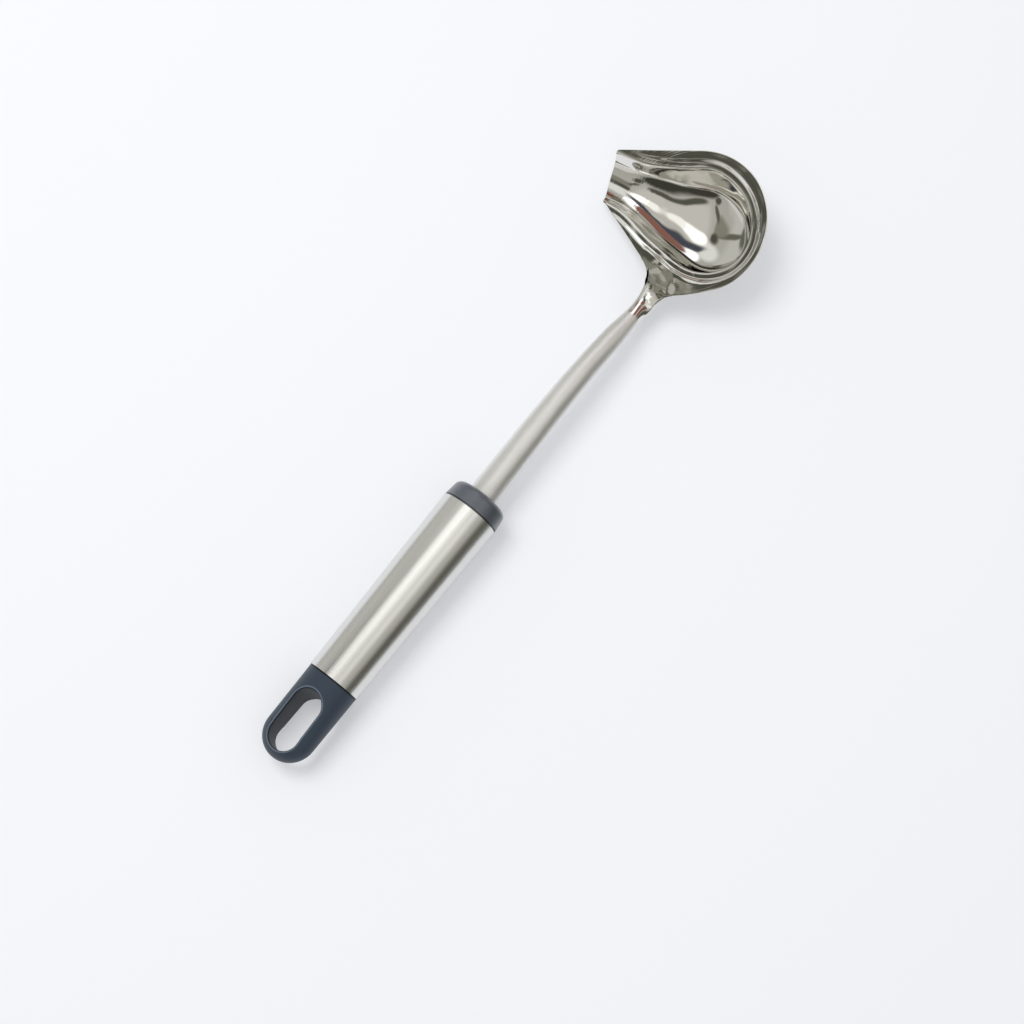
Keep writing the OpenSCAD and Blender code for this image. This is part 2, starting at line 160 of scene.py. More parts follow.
def across(p):
    """How far a point of the rim's plane lies from the hollow's axis, 1 at its shoulder."""
    a = (p - hub) @ spout_axis
    aside = (p - hub) @ spout_square - HOLLOW_LEAN * a * (1 - ramp(a / LEAN_LEN))
    return np.where(a <= 0, np.hypot(a / HOLLOW_BACK, aside / HOLLOW_R), np.abs(aside) / half_width(a))


def pressed(p):
    """Height of the sheet's upper face over the rim's plane."""
    a = (p - hub) @ spout_axis
    x = across(p)
    climb = ramp(a / RAMP_LEN)
    ledge = LEDGE_DROP * (1 - ramp(a / spout_len))
    beyond = (x - 1) * half_width(a)
    rim = -ledge * (1 - ramp((beyond - LEDGE_W) / STEP_W))
    side = beyond * between(WALL_SLOPE, MOUTH_SLOPE, climb) - ledge
    dish = between(FLOOR_RISE, MOUTH_RISE, climb) * x * x - between(BOWL_DEPTH, MOUTH_DEPTH, climb)
    return lower_of(rim, upper_of(side, dish, CORNER * (1 - climb / 2)), SHOULDER)


u_axis = np.array([math.cos(math.radians(RIM_PITCH)), 0, math.sin(math.radians(RIM_PITCH))])
flat_up = np.array([-u_axis[2], 0, u_axis[0]])
v_axis = np.array([0, math.cos(math.radians(RIM_ROLL)), 0]) - flat_up * math.sin(math.radians(RIM_ROLL))
RIM_FRAME = np.stack([u_axis, v_axis, np.cross(u_axis, v_axis)])


def set_in_rim(p, h):
    """Points of the rim's plane, h above it, on the handle's axes."""
    return np.concatenate([p, h[..., None]], axis=-1) @ RIM_FRAME + np.array(RIM_AT)


def pressed_normals(p):
    e = 0.01
    du = (pressed(p + [e, 0]) - pressed(p - [e, 0])) / 2 / e
    dv = (pressed(p + [0, e]) - pressed(p - [0, e])) / 2 / e
    return unit(np.stack([-du, -dv, np.ones_like(du)], axis=-1)) @ RIM_FRAME


# Columns of the mesh run from the hollow's axis out to the edge
NECK_FEET, SIDE_FEET, RIM_SPANS, NECK_SPANS = 30, 34, 110, 14
FLANGE_ROWS, STEP_ROWS, LEDGE_ROWS, WALL_ROWS = (0, 0.14, 0.42, 0.7), 8, 9, 44
near_share = float((near_corner - hub) @ spout_axis) / spout_len
far_share = float((far_corner - hub) @ spout_axis) / spout_len
neck_foot = NECK_RUN / near_share
feet = [neck_foot * i / NECK_FEET for i in range(NECK_FEET)]
feet += [neck_foot + (spout_len - neck_foot) * i / SIDE_FEET for i in range(SIDE_FEET + 1)]
last_foot = len(feet) - 1
far_turn = math.degrees(math.atan2(spout_square[1], spout_square[0]))
near_turn, neck_turn = far_turn - 180, NECK_BEARING - 360

columns = [(i, far_edge(hub + spout_axis * feet[i] * far_share, spout_square)) for i in range(last_foot, 0, -1)]
for i in range(RIM_SPANS):
    columns.append((0, round_edge(hub, heading(far_turn + (neck_turn - far_turn) * i / RIM_SPANS))))
for i in range(NECK_SPANS + 1):
    columns.append((0, round_edge(hub, heading(neck_turn + (near_turn - neck_turn) * i / NECK_SPANS))))
columns += [(i, near_edge(hub + spout_axis * feet[i] * near_share, -spout_square)) for i in range(1, last_foot + 1)]
neck_first = last_foot + RIM_SPANS
neck_last = neck_first + NECK_SPANS + NECK_FEET
neck_count = neck_last - neck_first + 1


def on_column(column, t):
    i, end = column
    base = hub + spout_axis * feet[i]
    t = np.asarray(t)[:, None]
    return base + (end - base) * t + spout_axis * LIP_BOW * t * (1 - t) * (feet[i] / spout_len) ** 6


def row_shares(column):
    """Shares of a column, edge first: rim, step, ledge, shoulder and wall."""
    i, end = column
    reach = float(np.linalg.norm(end - hub - spout_axis * feet[i]))
    lo, hi = 0.0, 1.0
    for _ in range(16):
        mid = (lo + hi) / 2
        lo, hi = (mid, hi) if across(on_column(column, [mid]))[0] < 1 else (lo, mid)
    s = min(lo, 0.985)
    fit = min(1, 0.8 * (1 - s) * reach / (LEDGE_W + STEP_W))
    outer = s + fit * (LEDGE_W + STEP_W) / reach
    rows = [1 + (outer - 1) * k for k in FLANGE_ROWS]
    rows += [s + fit * (LEDGE_W + STEP_W * k / STEP_ROWS) / reach for k in range(STEP_ROWS, -1, -1)]
    rows += [s + fit * LEDGE_W * k / LEDGE_ROWS / reach for k in range(LEDGE_ROWS - 1, 0, -1)]
    return rows + [s * (1 - (k / WALL_ROWS) ** 1.5) for k in range(WALL_ROWS)]


bowl_plan = np.concatenate([on_column(c, row_shares(c)) for c in columns])
row_count = len(row_shares(columns[0]))
axis_plan = np.array([hub + spout_axis * f for f in feet])

# The neck and shank go on from the edge points under the neck
tilt_rise = math.tan(math.radians(SHANK_TILT))
crown_x = COLLAR_FACE + CROWN_REACH
crown_z = (COLLAR_FACE - PIVOT_X) * tilt_rise + CROWN_REACH * tilt_rise / 2
neck_edges = [set_in_rim(columns[i][1], pressed(columns[i][1])) for i in range(neck_first, neck_last + 1)]
right_root, left_root = neck_edges[0], neck_edges[-1]
roll_start = min(right_root[0], left_root[0])
roll_end = roll_start - ROLL_LEN
draw_x = roll_start - ROLL_LEN * 0.65 - DRAW_LEN


def centre_z(x):
    if x < COLLAR_FACE:
        return (x - PIVOT_X) * tilt_rise
    if x < crown_x:
        return crown_z - (crown_x - x) ** 2 * tilt_rise / CROWN_REACH / 2
    return crown_z - (x - crown_x) ** 2 / BEND_R / 2


def tube_half(x):
    t = min(max((x - COLLAR_FACE) / (draw_x - COLLAR_FACE), 0), 1)
    drawn = float(ramp((x - draw_x) / DRAW_LEN))
    return (SHANK_D - (SHANK_D - SHANK_FRONT_D) * t - (SHANK_FRONT_D - NECK_D) * drawn) / 2


def neck_side(root, x, side):
    """Where the neck's edge stands: a fillet from the rim's edge into the shank's side."""
    half = side * tube_half(x)
    return half + (root[1] - half) * math.exp(-max(root[0] - x, 0) / NECK_FILLET)


def roll_angle(x):
    t = min(max((roll_start - x) / ROLL_LEN, 0), 1)
    eased = t * t * (1 + ROLL_EASE) / (t + ROLL_EASE)
    return (180 - math.degrees(math.asin(SEAM_GAP / 2 / tube_half(x)))) * (1 - (1 - eased) ** ROLL_HASTE)


def top_z(x):
    z = centre_z(x) + tube_half(x)
    if x < roll_end - ROLL_LEN:
        return z
    return upper_of(z, RIM_AT[2] + (x - RIM_AT[0]) * math.tan(math.radians(RIM_PITCH)), NECK_HOLLOW)


def rolled(x, q):
    left, right = neck_side(left_root, x, 1), neck_side(right_root, x, -1)
    mid, half, turn = (left + right) / 2, (left - right) / 2, roll_angle(x)
    if turn < 0.5:
        return np.array([x, mid + half * q, top_z(x)])
    r = half / math.sin(math.radians(min(turn, 90)))
    a = math.radians(q * turn)
    return np.array([x, mid + r * math.sin(a), top_z(x) - r * (1 - math.cos(a))])


def neck_point(i, x):
    root, q = neck_edges[i], 2 * i / (neck_count - 1) - 1
    keep = 1 - float(ramp((root[0] - x) / (ROLL_LEN * 0.75)))
    return rolled(x, q) + (root - rolled(root[0], q)) * keep


NECK_ROWS, SHANK_ROWS, NECK_BLEND = 54, 60, 6.0
strip_rows = NECK_ROWS + SHANK_ROWS


def station(i, j):
    root_x, mid_x, tail_x = neck_edges[i][0], roll_end - 2, COLLAR_FACE - TAIL_LEN
    if j <= NECK_ROWS:
        return root_x + (mid_x - root_x) * (j / NECK_ROWS) ** 1.15
    return mid_x + (tail_x - mid_x) * (j - NECK_ROWS) / SHANK_ROWS


def strip_normal(i, j):
    x = station(i, j)
    over = neck_point(min(i + 1, neck_count - 1), x) - neck_point(max(i - 1, 0), x)
    back = neck_point(i, x - 0.05) - neck_point(i, x + 0.05)
    return unit(np.cross(over, back))


strip = [(i, j) for i in range(neck_count) for j in range(1, strip_rows + 1)]
upper = np.concatenate([
    set_in_rim(axis_plan, pressed(axis_plan)),
    set_in_rim(bowl_plan, pressed(bowl_plan)),
    np.array([neck_point(i, station(i, j)) for i, j in strip]),
])
normals = np.concatenate([
    pressed_normals(axis_plan),
    pressed_normals(bowl_plan),
    np.array([strip_normal(i, j) for i, j in strip]),
])

first_bowl = len(feet)
first_strip = first_bowl + len(columns) * row_count


def at_bowl(c, r):
    return columns[c][0] if r == row_count else first_bowl + c * row_count + r


def at_strip(i, j):
    return at_bowl(neck_first + i, 0) if j == 0 else first_strip + i * strip_rows + j - 1


# The rim's normals are eased as if it were a little domed, its edge rolled over and drooping towards the neck
RIM_DOME, EDGE_ROLL, DROOP, DROOP_REACH = 0.05, 0.16, 0.20, 19.0
neck_middle = neck_edges[neck_count // 2]
flange_end = len(FLANGE_ROWS)
for c in range(len(columns)):
    out = unit(upper[at_bowl(c, 0)] - upper[at_bowl(c, flange_end)])
    for r in range(flange_end + 1):
        k = at_bowl(c, r)
        near = float(ramp(1 - np.linalg.norm(upper[k] - neck_middle) / DROOP_REACH))
        lean = out * (RIM_DOME * (1 - r / flange_end) + (EDGE_ROLL * (1 - near) if r == 0 else 0))
        normals[k] = unit(normals[k] + lean - np.array([DROOP, 0, 0]) * near)

# The neck's surface takes over the rim's slope within a few millimetres
for i in range(neck_count):
    root_normal = normals[at_strip(i, 0)].copy()
    for j in range(1, NECK_ROWS):
        taken = float(ramp((neck_edges[i][0] - station(i, j)) / NECK_BLEND))
        k = at_strip(i, j)
        normals[k] = unit(root_normal * (1 - taken) + normals[k] * taken)

faces = []
for c in range(len(columns) - 1):
    for r in range(row_count):
        ring = [at_bowl(c, r), at_bowl(c, r + 1), at_bowl(c + 1, r + 1), at_bowl(c + 1, r)]
        faces.append(ring if ring[1] != ring[2] else [ring[0], ring[1], ring[3]])
for i in range(neck_count - 1):
    for j in range(strip_rows):
        faces.append([at_strip(i, j), at_strip(i + 1, j), at_strip(i + 1, j + 1), at_strip(i, j + 1)])

border = [at_bowl(c, 0) for c in range(neck_first + 1)]
border += [at_strip(0, j) for j in range(1, strip_rows + 1)]
border += [at_strip(i, strip_rows) for i in range(1, neck_count)]
border += [at_strip(neck_count - 1, j) for j in range(strip_rows - 1, -1, -1)]
border += [at_bowl(c, 0) for c in range(neck_last + 1, len(columns))]
border += [at_bowl(len(columns) - 1, r) for r in range(1, row_count + 1)]
border += [at_bowl(0, r) for r in range(row_count - 1, 0, -1)]

# The cut edge is eased: a shallow half round between the two faces
around = upper[border]
tangent = unit(np.roll(around, -1, axis=0) - np.roll(around, 1, axis=0))
edge_up = normals[border]
outward = unit(np.cross(edge_up, tangent))
inner = around - outward * EDGE
upper[border] = inner
lower = upper - normals * SHEET
EDGE_STEPS = 5
edge_rows, edge_normals = [], []
for k in range(1, EDGE_STEPS):
    a = math.pi * k / EDGE_STEPS
    edge_rows.append(inner + outward * EDGE * math.sin(a) - edge_up * SHEET / 2 * (1 - math.cos(a)))
    edge_normals.append(unit(outward * math.sin(a) / EDGE + edge_up * math.cos(a) / (SHEET / 2)))
count, around_count = len(upper), len(border)
edge_rings = [[2 * count + k * around_count + n for n in range(around_count)] for k in range(EDGE_STEPS - 1)]
edge_rings = [border] + edge_rings + [[b + count for b in border]]
all_faces = faces + [[v + count for v in f[::-1]] for f in faces]
for ring, following in zip(edge_rings, edge_rings[1:]):
    for n in range(around_count):
        m = (n + 1) % around_count
        all_faces.append([ring[n], ring[m], following[m], following[n]])


def smooth_piece(name, points, faces, normals=None):
    """A smooth-shaded piece from points on the handle's axes, with its own normals where given."""
    mesh = bpy.data.meshes.new(name)
    mesh.from_pydata([tuple(p) for p in laid_down(points)], [], [list(f) for f in faces])
    mesh.validate()
    mesh.shade_smooth()
    if normals is not None:
        mesh.normals_split_custom_set_from_vertices([tuple(n) for n in np.asarray(normals) @ LIE.T])
    piece = bpy.data.objects.new(name, mesh)
    bpy.context.scene.collection.objects.link(piece)
    return piece


sheet_points = np.concatenate([upper, lower] + edge_rows)
sheet_normals = np.concatenate([normals, -normals] + edge_normals)
bowl = smooth_piece("bowl_and_shank_sheet", sheet_points, all_faces, sheet_normals)


class Wire:
    """A socket of a material, on which Python arithmetic adds Math nodes."""

    def __init__(self, finish, socket):
        self.finish, self.socket = finish, socket

    def maths(self, operation, a, b):
        return self.finish.maths(operation, a, b)

    def __add__(self, other):
        return self.maths("ADD", self, other)

    def __radd__(self, other):
        return self.maths("ADD", other, self)

    def __sub__(self, other):
        return self.maths("SUBTRACT", self, other)

    def __rsub__(self, other):
        return self.maths("SUBTRACT", other, self)

    def __mul__(self, other):
        return self.maths("MULTIPLY", self, other)

    def __truediv__(self, other):
        return self.maths("DIVIDE", self, other)


class Finish:
    """A material. node() adds any node: its settings first, then values or links by socket."""

    def __init__(self, name, **constants):
        self.material = bpy.data.materials.new(name)
        self.material.use_nodes = True
        self.tree = self.material.node_tree
        self.shader = next(n for n in self.tree.nodes if n.type == "BSDF_PRINCIPLED")
        for socket, value in constants.items():
            self.shader.inputs[socket.replace("_", " ")].default_value = value

    def node(self, kind, settings=None, sockets=None, output=0):
        made = self.tree.nodes.new("ShaderNode" + kind)
        for key, value in (settings or {}).items():
            setattr(made, key, value)
        for key, value in (sockets or {}).items():
            self.feed(made.inputs[key], value)
        return Wire(self, made.outputs[output])

    def maths(self, operation, a, b=0.0):
        return self.node("Math", {"operation": operation}, {0: a, 1: b})

    def blend(self, share, first, second):
        """A colour between two others, the second one where share is 1."""
        ends = [tone if isinstance(tone, Wire) else (*tone, 1) for tone in (first, second)]
        return self.node("Mix", {"data_type": "RGBA"}, {0: share, 6: ends[0], 7: ends[1]}, output=2)

    def fade(self, value, zero_at, one_at, top=1.0):
        """A share that runs from 0 to top while the value runs from zero_at to one_at."""
        return self.node("MapRange", {"clamp": True}, {0: value, 1: zero_at, 2: one_at, 3: 0.0, 4: top})

    def noise(self, place, scale, detail):
        return self.node("TexNoise", {}, {"Vector": place, "Scale": scale, "Detail": detail})

    def feed(self, socket, value):
        if isinstance(value, Wire):
            self.tree.links.new(value.socket, socket)
        else:
            socket.default_value = value

    def use(self, **sockets):
        for key, value in sockets.items():
            self.feed(self.shader.inputs[key.replace("_", " ")], value)


def lie_matrix():
    m = Matrix([list(row) for row in LIE]).to_4x4()
    m.translation = Vector(LIE_SHIFT) / 1000
    return m


def handle_axes(finish, scale=None):
    """Object coordinates turned back to the handle's axes, so that a pattern can follow the handle."""
    back = lie_matrix().inverted()
    place = finish.node("TexCoord", output="Object")
    turned = {"Vector": place, "Location": back.translation, "Rotation": back.to_euler("XYZ"), "Scale": (1, 1, 1)}
    on_axes = finish.node("Mapping", {}, turned)
    return on_axes if scale is None else finish.node("VectorMath", {"operation": "MULTIPLY"}, {0: on_axes, 1: scale})


def mm_from(finish, point):
    """Distance from a point on the handle's axes, in millimetres."""
    ends = {0: handle_axes(finish), 1: Vector(point) / 1000}
    return finish.node("VectorMath", {"operation": "DISTANCE"}, ends, output="Value") * 1000


# Mirror polish with faint waves and turned lines, and satin brushing that starts behind the neck
POLISH_ENDS, BRUSH_BEGINS = 203.5, 201.0
steel = Finish("polished_and_brushed_steel", Metallic=1.0)
x_mm = steel.node("SeparateXYZ", {}, {0: handle_axes(steel)}) * 1000
brushed = steel.fade(x_mm, POLISH_ENDS, BRUSH_BEGINS)
scratches = steel.noise(handle_axes(steel, (40, 2600, 2600)), 1.0, 3.0)
smears = steel.noise(handle_axes(steel), 60.0, 4.0)
waves = steel.noise(handle_axes(steel), 55.0, 1.0)
polish = steel.node("Bump", {}, {"Height": waves, "Strength": 1.0, "Distance": 0.0011})
from_middle = mm_from(steel, RIM_AT)
turned_lines = steel.node("TexNoise", {"noise_dimensions": "1D"}, {"W": from_middle * 1.1, "Scale": 1.0, "Detail": 2.0})
turned_lines = turned_lines * steel.fade(from_middle, 25.5, 27.5)
polish = steel.node("Bump", {}, {"Height": turned_lines, "Strength": 1.0, "Distance": 0.00003, "Normal": polish})
rumples = steel.noise(handle_axes(steel), 140.0, 1.0) * steel.fade(mm_from(steel, neck_middle), 17.0, 8.0)
polish = steel.node("Bump", {}, {"Height": rumples, "Strength": 1.0, "Distance": 0.0007, "Normal": polish})
brushing = {"Height": scratches * brushed, "Strength": 0.25, "Distance": 0.00005, "Normal": polish}
steel.use(
    Base_Color=steel.blend(brushed, (0.78, 0.77, 0.74), (0.93, 0.925, 0.91)),
    Roughness=0.045 + smears * 0.03 + brushed * (0.38 + scratches * 0.12),
    Normal=steel.node("Bump", {}, brushing),
)
bowl.data.materials.append(steel.material)
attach(bowl, "root")
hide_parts("bowl_and_shank")


# The collar is a dark moulded plug: a domed shoulder outside, a spigot inside the tube and a
# slanting hole for the shank. A narrow groove is left where it meets the tube's end.
TUBE_LEN, TUBE_BACK_R, TUBE_FRONT_R, TUBE_WALL, SPIGOT_FIT = 90.0, 12.2, 13.4, 0.7, 0.1
COLLAR_STEP, COLLAR_DRAW, COLLAR_ROUND, COLLAR_SPIGOT, SHANK_FIT = 0.15, 0.6, 3.2, 12.0, 0.15
GROOVE_W, GROOVE_DEEP, HOLE_CENTRE_Z, HOLE_FLARE, TURNS = 0.8, 0.58, 0.61, 1.04, 128


def turned_rings(profile):
    """Rings of points round the handle's axis for (x, radius) pairs."""
    a = np.linspace(0, 2 * math.pi, TURNS, endpoint=False)
    return [np.stack([np.full(TURNS, x), r * np.cos(a), r * np.sin(a)], axis=1) for x, r in profile]


def skin(rings, closed=False):
    """Faces between rings of equal length."""
    made, n, last = [], len(rings[0]), len(rings) - (0 if closed else 1)
    for k in range(last):
        a, b = k * n, (k + 1) % len(rings) * n
        made += [[a + i, a + (i + 1) % n, b + (i + 1) % n, b + i] for i in range(n)]
    return made


def hole_ring(x):
    """The shank's hole in the collar, cut square to the handle at x."""
    a = np.linspace(0, 2 * math.pi, TURNS, endpoint=False)
    r = SHANK_D / 2 + SHANK_FIT
    tilt = math.radians(SHANK_TILT)
    z = (x - PIVOT_X) * math.tan(tilt) + r / math.cos(tilt) * np.sin(a)
    return np.stack([np.full(TURNS, x), r * np.cos(a), z], axis=1)


outer_r = TUBE_FRONT_R - COLLAR_STEP
mid_r = outer_r - COLLAR_DRAW
inner_r = TUBE_FRONT_R - TUBE_WALL - SPIGOT_FIT
back_x = TUBE_LEN - COLLAR_SPIGOT
inner_back_r = inner_r - COLLAR_SPIGOT * (TUBE_FRONT_R - TUBE_BACK_R) / TUBE_LEN
shoulder = [
    (COLLAR_FACE - COLLAR_ROUND * (1 - math.sin(a)), mid_r - COLLAR_ROUND * (1 - math.cos(a)))
    for a in np.linspace(math.pi / 2, 0, 12)
]
groove_r, groove_x = outer_r - GROOVE_DEEP, TUBE_LEN + GROOVE_W
profile = shoulder + [(groove_x, outer_r), (groove_x - 0.1, groove_r), (TUBE_LEN, groove_r)]
profile += [(TUBE_LEN, inner_r), (TUBE_LEN - 0.2, inner_r), (back_x + 0.3, inner_back_r), (back_x, inner_back_r - 0.3)]
flared = hole_ring(COLLAR_FACE)
flared[:, 1:] = (flared[:, 1:] - [0, HOLE_CENTRE_Z]) * HOLE_FLARE + [0, HOLE_CENTRE_Z]
rings = [hole_ring(COLLAR_FACE - 0.3), flared] + turned_rings(profile) + [hole_ring(back_x)]
collar = smooth_piece("collar_plug", np.concatenate(rings), [f[::-1] for f in skin(rings, closed=True)])
collar.data.set_sharp_from_angle(angle=math.radians(38))

# Satin moulding with a fine grain, glossier on the collar, with painted shade making the joints with the tube dark
GROOVE_AT, BACK_JOINT_AT, JOINT_PAINTED_SHADE = TUBE_LEN + 0.35, -0.25, (0.003, 0.003, 0.004)
plastic = Finish(
    "dark_grey_plastic", Specular_IOR_Level=0.35, Specular_Tint=(0.75, 0.88, 1.0, 1), Coat_IOR=2.1, Coat_Roughness=0.36
)
handle_mm = handle_axes(plastic, (1000, 1000, 1000))
handle_x, handle_y = (plastic.node("SeparateXYZ", {}, {0: handle_mm}, output=k) for k in range(2))
at_tube_front = plastic.fade(handle_x, 80.0, 84.0)
groove_shade_mask = plastic.node("Math", {"operation": "COMPARE"}, {0: handle_x, 1: GROOVE_AT, 2: 0.5})
back_joint_shade_mask = plastic.node("Math", {"operation": "COMPARE"}, {0: handle_x, 1: BACK_JOINT_AT, 2: 0.4})
grain = plastic.noise(plastic.node("TexCoord", output="Object"), 2600.0, 2.0)
mottle = plastic.noise(plastic.node("TexCoord", output="Object"), 90.0, 3.0)
tone = plastic.blend(mottle, (0.037, 0.048, 0.066), (0.043, 0.056, 0.076))
# Painted shade: the groove and the joint with the tube's back end go near black
tone = plastic.blend(groove_shade_mask + back_joint_shade_mask, tone, JOINT_PAINTED_SHADE)
plastic.use(
    Base_Color=tone,
    Roughness=0.4 + mottle * 0.1,
    Normal=plastic.node("Bump", {}, {"Height": grain, "Strength": 0.12, "Distance": 0.00004}),
    Coat_Weight=at_tube_front * 0.95,
)
collar.data.materials.append(plastic.material)
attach(collar, "root")
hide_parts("collar")


# The handle is a tapered tube of thin stainless steel, brushed lengthways, with both ends open
# for the plugs. It is drawn by a node tree from its length, its two radii and its wall.
tube_sizes = {"Length": TUBE_LEN, "Back radius": TUBE_BACK_R, "Front radius": TUBE_FRONT_R, "Wall": TUBE_WALL}


def tube_maker(finish):
    tree = bpy.data.node_groups.new("tapered_tube", "GeometryNodeTree")
    for name in tube_sizes:
        tree.interface.new_socket(name, in_out="INPUT", socket_type="NodeSocketFloat")
    tree.interface.new_socket("Geometry", in_out="OUTPUT", socket_type="NodeSocketGeometry")

    def node(kind, settings=None, sockets=None):
        made = tree.nodes.new(kind)
        for key, value in (settings or {}).items():
            setattr(made, key, value)
        for key, value in (sockets or {}).items():
            if isinstance(value, bpy.types.NodeSocket):
                tree.links.new(value, made.inputs[key])
            else:
                made.inputs[key].default_value = value
        return made

    given = node("NodeGroupInput").outputs
    shell = node(
        "GeometryNodeMeshCone", {"fill_type": "NONE"},
        {
            "Vertices": 192, "Side Segments": 24, "Depth": given["Length"],
            "Radius Bottom": given["Back radius"], "Radius Top": given["Front radius"],
        },
    ).outputs["Mesh"]
    inward = node("ShaderNodeMath", {"operation": "MULTIPLY"}, {0: given["Wall"], 1: -1.0}).outputs[0]
    wall = {"Mesh": shell, "Offset Scale": inward, "Individual": False}
    thick = node("GeometryNodeExtrudeMesh", {"mode": "FACES"}, wall)
    inside = node("GeometryNodeFlipFaces", {}, {"Mesh": thick.outputs["Mesh"]}).outputs[0]
    both = node("GeometryNodeJoinGeometry")
    tree.links.new(shell, both.inputs[0])
    tree.links.new(inside, both.inputs[0])
    merged = node("GeometryNodeMergeByDistance", {}, {"Geometry": both.outputs[0], "Distance": 1e-6}).outputs[0]
    real = node("GeometryNodeRealizeInstances", {}, {0: merged}).outputs[0]
    dressed = node("GeometryNodeSetMaterial", {}, {"Geometry": real, "Material": finish}).outputs[0]
    node("NodeGroupOutput", {}, {0: dressed})
    return tree


satin = Finish("satin_steel", Metallic=1.0, Base_Color=(0.76, 0.755, 0.74, 1))
brush = satin.noise(handle_axes(satin, (30, 3000, 3000)), 1.0, 4.0)
patches = satin.noise(handle_axes(satin, (20, 300, 300)), 1.0, 2.0)
satin.use(
    Roughness=0.17 + brush * 0.12 + patches * 0.04,
    Normal=satin.node("Bump", {}, {"Height": brush, "Strength": 0.3, "Distance": 0.00006}),
)

seed = bpy.data.objects.new("tube_seed", bpy.data.meshes.new("tube_seed"))
bpy.context.scene.collection.objects.link(seed)
maker = seed.modifiers.new("tube", "NODES")
maker.node_group = tube_maker(satin.material)
for item in maker.node_group.interface.items_tree:
    if item.in_out == "INPUT":
        maker[item.identifier] = tube_sizes[item.name] / 1000
grown = bpy.data.meshes.new_from_object(seed.evaluated_get(bpy.context.evaluated_depsgraph_get()))
bpy.data.objects.remove(seed)
grown.materials.clear()
grown.materials.append(satin.material)
lengthways = Matrix.Rotation(math.radians(90), 4, "Y")
grown.transform(lie_matrix() @ lengthways)
tube = bpy.data.objects.new("handle_tube_shell", grown)
bpy.context.scene.collection.objects.link(tube)
grown.shade_smooth()
grown.set_sharp_from_angle(angle=math.radians(40))
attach(tube, "root")
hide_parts("handle_tube")


# The end cap is moulded in the same dark plastic: round where it meets the tube, flattened
# towards its rounded tip, with the hanging slot through it and a cored spigot in the tube.
CAP_LEN, CAP_STEP, CAP_HALF = 39.5, 0.35, 8.25
SLOT_LEN, SLOT_W, SLOT_TIP_WALL, SLOT_ROUND = 28.0, 13.5, 3.4, 0.9
CAP_SPIGOT, SPIGOT_WALL = 14.0, 2.4
cap_r = TUBE_BACK_R - CAP_STEP
tip_x = -CAP_LEN + cap_r
slot_mid = -CAP_LEN + SLOT_TIP_WALL + SLOT_LEN / 2


def cap_height(x, y):
    """Half thickness of the cap over a point of its middle plane."""
    rho = np.where(x < tip_x, np.hypot(x - tip_x, y), np.abs(y)) / cap_r
    t = np.clip(x / tip_x, 0, 1)
    half = upper_of(cap_r + (CAP_HALF - cap_r) * x / tip_x, CAP_HALF, 0.8)
    half = np.minimum(np.where(x < tip_x, CAP_HALF + 0.05, half), cap_r)
    power = 2 + 0.5 * ramp(t)
    return half * np.sqrt(np.clip(1 - np.clip(rho, 0, 1) ** power, 0, 1))


def cap_rim(s):
    """The cap's outline in plan for s from 0 to 1, from one end of the tube joint to the other."""
    straight, arc = -tip_x, math.pi * cap_r
    d = s * (2 * straight + arc)
    if d < straight:
        return (-d, cap_r)
    if d > straight + arc:
        return (d - 2 * straight - arc, -cap_r)
    a = (d - straight) / cap_r
    return (tip_x - cap_r * math.sin(a), cap_r * math.cos(a))


def slot_rim(s, grow=0.0):
    """The slot's outline for s from 0 to 1, from the middle of its front end round to it again."""
    r, run = SLOT_W / 2 + grow, (SLOT_LEN - SLOT_W) / 2
    whole = 4 * run + 2 * math.pi * r
    d = s * whole
    quarter = math.pi * r / 2
    if d <= quarter:
        return (slot_mid + run + r * math.cos(d / r), r * math.sin(d / r))
    d -= quarter
    if d <= 2 * run:
        return (slot_mid + run - d, r)
    d -= 2 * run
    if d <= 2 * quarter:
        return (slot_mid - run - r * math.sin(d / r), r * math.cos(d / r))
    d -= 2 * quarter
    if d <= 2 * run:
        return (slot_mid - run + d, -r)
    d -= 2 * run
    return (slot_mid + run + r * math.sin(d / r), -r * math.cos(d / r))


SPOKES, FRONT_SPOKES, CAP_STEPS = 132, 28, 22
front_side = [cap_r * math.sin(math.pi * k / FRONT_SPOKES) for k in range(FRONT_SPOKES // 2)]
outer_loop = [(0.0, y) for y in front_side]
outer_loop += [cap_rim(k / (SPOKES - FRONT_SPOKES)) for k in range(SPOKES - FRONT_SPOKES + 1)]
outer_loop += [(0.0, -y) for y in front_side[:0:-1]]
outer_loop = np.array(outer_loop)
inner_loop = np.array([slot_rim(k / len(outer_loop), SLOT_ROUND) for k in range(len(outer_loop))])
wall_loop = np.array([slot_rim(k / len(outer_loop)) for k in range(len(outer_loop))])

upper_half = []
for k in range(CAP_STEPS + 1):
    t = k / CAP_STEPS
    plan = outer_loop + (inner_loop - outer_loop) * t ** 1.9
    upper_half.append(np.column_stack([plan, cap_height(plan[:, 0], plan[:, 1])]))
rim_z = upper_half[-1][:, 2]
for k in range(1, 7):
    a = math.pi / 2 * k / 6
    plan = inner_loop + (wall_loop - inner_loop) * math.sin(a)
    upper_half.append(np.column_stack([plan, rim_z - SLOT_ROUND * (1 - math.cos(a))]))
lower_half = [r * [1, 1, -1] for r in upper_half[::-1]]
cap_points = np.concatenate(upper_half + lower_half)
cap_faces = skin(upper_half + lower_half)

